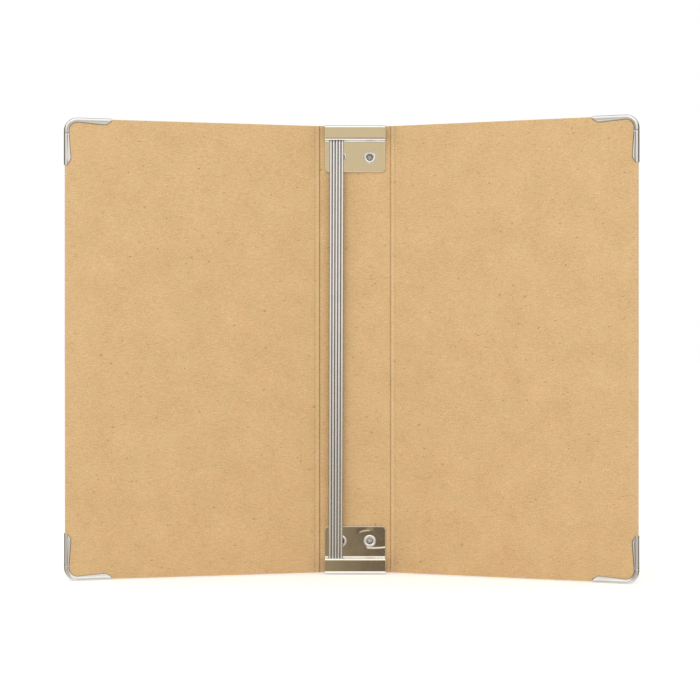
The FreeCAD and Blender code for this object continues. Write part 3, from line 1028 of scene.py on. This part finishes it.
def makeHolder(node, atHead):
    half = holders["sheet"] / 2
    back = -1.0 - half
    front = -1.0 - holders["depth"] + half
    shelf = holders["shelfInset"] - half
    end = holders["endInset"] + half
    path = [(back, holders["plateInset"]), (back, shelf), (front, shelf), (front, end),
            (-1.0 - holders["flangeGap"], end)]

    def height(z):
        return boardHeight - z * mm if atHead else z * mm

    points = [(0.0, y * mm, height(z)) for y, z in path]
    piece = newPiece(node.replace("holder", "bracket"), lineMesh(node, points), [])
    reach = holders["trimReach"]
    trimMiddle = height(holders["plateInset"] - reach / 2)
    runTree(piece, holderTree, {
        "Width": holders["width"] * mm, "Sheet": holders["sheet"] * mm,
        "Bend Radius": (holders["bendInner"] + half) * mm, "Trim Corner": holders["plateCorner"] * mm,
        "Trim Height": reach * mm, "Trim Place": trimMiddle,
        "Slot Length": 2 * (holders["slotEnd"] + holders["slotHalf"]) * mm,
        "Slot Width": 2 * holders["slotHalf"] * mm,
        "Slot Place": (0.0, -holders["slotAxis"] * mm, height(shelf) - 1 * mm),
        "Hole Radius": rivetHoles["radius"] * mm,
        "Left Hole": (-rivetHoles["offset"] * mm, back * mm, height(rivetHoles["inset"])),
        "Right Hole": (rivetHoles["offset"] * mm, back * mm, height(rivetHoles["inset"])),
        "Finish": metals["holder"]})
    pointOutwards(piece.data)
    piece.data.shade_smooth()
    bevel = piece.modifiers.new("arris", "BEVEL")
    bevel.width = holders["edgeRound"] * mm
    bevel.segments = 3
    bevel.profile = holders["edgeProfile"]
    bevel.use_clamp_overlap = False  # the clamp shrinks it to nothing beside the shortest edges
    bevel.limit_method = "ANGLE"
    bevel.angle_limit = math.radians(50)
    flatter = piece.modifiers.new("flatFaces", "WEIGHTED_NORMAL")
    flatter.weight = 100
    makePlain(piece)
    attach(piece, "spine")
    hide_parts(node)


makeHolder("foot_wire_holder", False)
makeHolder("head_wire_holder", True)
print("wire holders made")


# floor, light and camera

studio = {
    "floorSize": 30.0,
    "floorColour": (0.88, 0.875, 0.865, 1.0),
    "floorGlow": 0.30,
    "skyLight": 0.87,
    "backdrop": (1.0, 1.0, 1.0, 1.0),
    "keyPower": 5.6,
    "keyPlace": (-0.2, -0.9, 1.25),
    "keySize": 0.8,
    "keyTarget": (0, 0, 0.1),
    "cameraPlace": (-0.00247, -1.0642, 0.10814),
    "lens": 112.53,  # mm, on a sensor 36 mm wide
}

# what the metal mirrors, by direction: where each zone starts, where it is full, and its colour
room = {
    "lowLeft": (0.36, 0.285, 0.17, 1.0),
    "lowRight": (0.175, 0.132, 0.088, 1.0),
    "side": (0.98, 0.96, 0.94, 1.0),
    "across": (-0.008, 0.007),
    "wall": (-0.025, 0.03, (0.76, 0.63, 0.405, 1.0)),
    "lintel": (0.38, 0.46, (0.30, 0.25, 0.18, 1.0)),
    "lamp": (0.52, 0.6, (1.4, 1.38, 1.33, 1.0)),
    "table": (-0.55, -0.72, (1.3, 1.29, 1.27, 1.0)),
    "sideTop": (0.15, 0.5, (1.2, 1.18, 1.15, 1.0)),
    "sideShade": (0.03, -0.10, (0.66, 0.62, 0.55, 1.0)),
    "sideBelow": (-0.35, -0.6, (0.74, 0.71, 0.67, 1.0)),
    "sideEdge": (0.07, 0.17),
    "flank": (0.74, 0.92, (0.22, 0.20, 0.18, 1.0)),
    "behind": (0.25, 0.6, (0.13, 0.125, 0.12, 1.0)),
    "behindAbove": (-0.02, 0.05),
}


def makeFloor():
    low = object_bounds()[0].z
    half = studio["floorSize"] / 2
    data = bpy.data.meshes.new("floor")
    data.from_pydata([(-half, -half, low), (half, -half, low), (half, half, low), (-half, half, low)], [],
                     [(0, 1, 2, 3)])
    floor = bpy.data.objects.new("floor", data)
    bpy.context.scene.collection.objects.link(floor)
    material, tree, shader = startMaterial("paleFloor")
    shader.inputs["Base Color"].default_value = studio["floorColour"]
    shader.inputs["Roughness"].default_value = 0.9
    shader.inputs["Emission Color"].default_value = (1.0, 1.0, 1.0, 1.0)
    shader.inputs["Emission Strength"].default_value = studio["floorGlow"]
    data.materials.append(material)
    floor.visible_glossy = False  # the metal mirrors the room and its table instead


def makeWorld():
    world = bpy.data.worlds.new("studio")
    bpy.context.scene.world = world
    world.use_nodes = True
    tree = world.node_tree
    tree.nodes.clear()
    ray = addNode(tree, "ShaderNodeLightPath").outputs
    aim = addNode(tree, "ShaderNodeTexCoord").outputs["Generated"]
    parts = separate(tree, aim)
    x, y, z = parts["X"], parts["Y"], parts["Z"]

    def zone(under, name, direction):
        start, full, colour = room[name]
        return mixColour(tree, remap(tree, direction, start, full), under, colour)

    # straight ahead a warm light wall over a dark one, bright sides, dark flanks, and the pale table below
    across = remap(tree, x, *room["across"])
    centre = mixColour(tree, across, room["lowLeft"], room["lowRight"])
    for name in ("wall", "lintel", "lamp", "table"):
        centre = zone(centre, name, z)
    sides = room["side"]
    for name in ("sideTop", "sideShade", "sideBelow"):
        sides = zone(sides, name, z)
    sideways = calc(tree, "ABSOLUTE", x)
    mirrored = mixColour(tree, remap(tree, sideways, *room["sideEdge"]), centre, sides)
    mirrored = zone(mirrored, "flank", sideways)
    start, full, dark = room["behind"]
    behind = times(tree, remap(tree, y, start, full), remap(tree, z, *room["behindAbove"]))
    mirrored = mixColour(tree, behind, mirrored, dark)
    plain = (studio["skyLight"],) * 3 + (1.0,)
    colour = mixColour(tree, ray["Is Glossy Ray"], plain, mirrored)
    colour = mixColour(tree, ray["Is Camera Ray"], colour, studio["backdrop"])
    background = addNode(tree, "ShaderNodeBackground", {"Color": colour, "Strength": 1.0})
    output = addNode(tree, "ShaderNodeOutputWorld")
    tree.links.new(background.outputs[0], output.inputs[0])


def addSoftBox(name, place, size, power, target):
    lamp = bpy.data.lights.new(name, "AREA")
    lamp.shape = "SQUARE"
    lamp.size = size
    lamp.energy = power
    box = bpy.data.objects.new(name, lamp)
    bpy.context.scene.collection.objects.link(box)
    box.location = place
    box.visible_glossy = False  # it would blow out the holders' rims
    box.rotation_euler = (Vector(target) - Vector(place)).to_track_quat("-Z", "Y").to_euler()
    return box


def makeCamera():
    lens = bpy.data.cameras.new("camera")
    lens.sensor_width = 36.0
    lens.lens = studio["lens"]
    lens.clip_start = 0.01
    lens.clip_end = 100.0
    camera = bpy.data.objects.new("camera", lens)
    bpy.context.scene.collection.objects.link(camera)
    camera.location = studio["cameraPlace"]
    camera.rotation_euler = (math.pi / 2, 0.0, 0.0)
    bpy.context.scene.camera = camera


makeFloor()
makeWorld()
addSoftBox("keyLight", studio["keyPlace"], studio["keySize"], studio["keyPower"], studio["keyTarget"])
makeCamera()
scene = bpy.context.scene
scene.view_settings.view_transform = "Standard"
scene.view_settings.look = "None"
print("studio made")
